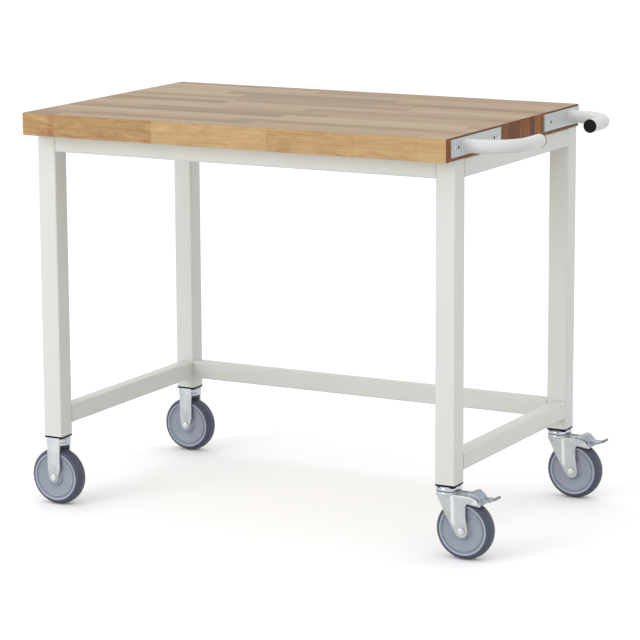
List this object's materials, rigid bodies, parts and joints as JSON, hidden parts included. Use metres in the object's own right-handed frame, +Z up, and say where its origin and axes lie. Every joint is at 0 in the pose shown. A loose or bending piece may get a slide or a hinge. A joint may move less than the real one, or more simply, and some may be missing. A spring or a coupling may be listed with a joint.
{
  "type": "mobile workbench",
  "caption": "Mobile workbench: thick beech worktop on a white tube frame open at the front, with fixed and braked swivel castors and bent tube push handles on one end",
  "frame": {"origin": "On the floor, under the middle of the overall footprint with wheels and handles.", "axes": "+X along the bench towards the handles, +Y from the open front to the rear, +Z up."},
  "size_m": [1.1564, 0.6644, 0.87],
  "materials": {
    "beech": "oiled",
    "frame_paint": "satin powder coat",
    "handle_paint": "satin powder coat",
    "black_plastic": "matte",
    "tyre_rubber": "matte",
    "hub_plastic": "satin",
    "pedal_zinc": "zinc plated",
    "shoe_rubber": "matte",
    "bearing_plastic": "matte",
    "castor_zinc": "zinc plated",
    "bright_steel": "bright zinc"
  },
  "bodies": {
    "frame": {"castor_stem_bolts": "bright_steel", "fixed_axle_bolts": "bright_steel", "fixed_axle_nuts": "bright_steel", "fixed_axle_sleeves": "bright_steel", "fixed_fork_front": "castor_zinc", "fixed_fork_rear": "castor_zinc", "handle_plate_front": "handle_paint", "handle_plate_rear": "handle_paint", "handle_plug_front": "black_plastic", "handle_plug_rear": "black_plastic", "handle_screws": "bright_steel", "handle_tube_front": "handle_paint", "handle_tube_rear": "handle_paint", "leg_end_caps": "black_plastic", "leg_front_left": "frame_paint", "leg_front_right": "frame_paint", "leg_insert_plates": "bright_steel", "leg_rear_left": "frame_paint", "leg_rear_right": "frame_paint", "lower_rail_left": "frame_paint", "lower_rail_rear": "frame_paint", "lower_rail_right": "frame_paint", "swivel_head_front": "castor_zinc", "swivel_head_rear": "castor_zinc", "top_rail_front": "frame_paint", "top_rail_left": "frame_paint", "top_rail_rear": "frame_paint", "top_rail_right": "frame_paint", "worktop": "beech", "worktop_brackets": "frame_paint", "worktop_screws": "bright_steel"},
    "swivel_front": {"brake_pin_front": "bright_steel", "swivel_axle_bolt_front": "bright_steel", "swivel_axle_nut_front": "bright_steel", "swivel_axle_sleeve_front": "bright_steel", "swivel_balls_front": "bright_steel", "swivel_fork_front": "castor_zinc"},
    "brake_front": {"brake_pedal_front": "pedal_zinc", "brake_shoe_front": "shoe_rubber"},
    "wheel_front_left": {"tyre_front_left": "tyre_rubber", "wheel_bearing_front_left": "bearing_plastic", "wheel_hub_front_left": "hub_plastic"},
    "wheel_front_right": {"tyre_front_right": "tyre_rubber", "wheel_bearing_front_right": "bearing_plastic", "wheel_hub_front_right": "hub_plastic"},
    "swivel_rear": {"brake_pin_rear": "bright_steel", "swivel_axle_bolt_rear": "bright_steel", "swivel_axle_nut_rear": "bright_steel", "swivel_axle_sleeve_rear": "bright_steel", "swivel_balls_rear": "bright_steel", "swivel_fork_rear": "castor_zinc"},
    "brake_rear": {"brake_pedal_rear": "pedal_zinc", "brake_shoe_rear": "shoe_rubber"},
    "wheel_rear_left": {"tyre_rear_left": "tyre_rubber", "wheel_bearing_rear_left": "bearing_plastic", "wheel_hub_rear_left": "hub_plastic"},
    "wheel_rear_right": {"tyre_rear_right": "tyre_rubber", "wheel_bearing_rear_right": "bearing_plastic", "wheel_hub_rear_right": "hub_plastic"}
  },
  "joints": [
    {"name": "swivel_front_turn", "type": "hinge", "parent": "frame", "child": "swivel_front", "pos_m": [0.4333, -0.25975, 0.1405], "axis": [0, 0, 1], "continuous": true},
    {"name": "brake_front_press", "type": "hinge", "parent": "swivel_front", "child": "brake_front", "pos_m": [0.50229, -0.25975, 0.12604], "axis": [0, 1, 0], "range_deg": [0, 15]},
    {"name": "wheel_front_left_spin", "type": "hinge", "parent": "frame", "child": "wheel_front_left", "pos_m": [-0.5157, -0.25975, 0.0625], "axis": [0, 1, 0], "continuous": true},
    {"name": "wheel_front_right_spin", "type": "hinge", "parent": "swivel_front", "child": "wheel_front_right", "pos_m": [0.4713, -0.25975, 0.0625], "axis": [0, 1, 0], "continuous": true},
    {"name": "swivel_rear_turn", "type": "hinge", "parent": "frame", "child": "swivel_rear", "pos_m": [0.4333, 0.30475, 0.1405], "axis": [0, 0, 1], "continuous": true},
    {"name": "brake_rear_press", "type": "hinge", "parent": "swivel_rear", "child": "brake_rear", "pos_m": [0.50229, 0.30475, 0.12604], "axis": [0, 1, 0], "range_deg": [0, 15]},
    {"name": "wheel_rear_left_spin", "type": "hinge", "parent": "frame", "child": "wheel_rear_left", "pos_m": [-0.5157, 0.30475, 0.0625], "axis": [0, 1, 0], "continuous": true},
    {"name": "wheel_rear_right_spin", "type": "hinge", "parent": "swivel_rear", "child": "wheel_rear_right", "pos_m": [0.4713, 0.30475, 0.0625], "axis": [0, 1, 0], "continuous": true}
  ]
}
